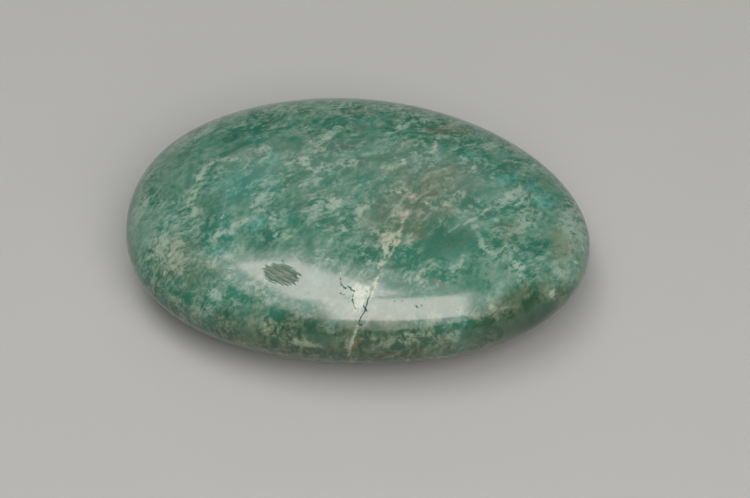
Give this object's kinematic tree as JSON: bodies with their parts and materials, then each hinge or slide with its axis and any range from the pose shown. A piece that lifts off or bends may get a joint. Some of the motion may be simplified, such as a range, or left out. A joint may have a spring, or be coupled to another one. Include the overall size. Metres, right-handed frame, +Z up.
{
  "type": "polished amazonite palm stone",
  "caption": "Polished green amazonite palm stone: a flattish oval pebble with a full rounded rim and a small flat to rest on.",
  "frame": {"origin": "on the flat that the stone rests on, below the middle of its box", "axes": "+X along the stone's length, +Y across its width away from the viewer, +Z up through its thickness"},
  "size_m": [0.0714, 0.0496, 0.0209],
  "materials": {
    "polished_stone": "polished"
  },
  "bodies": {
    "root": {"palm_stone": "polished_stone"}
  },
  "joints": []
}
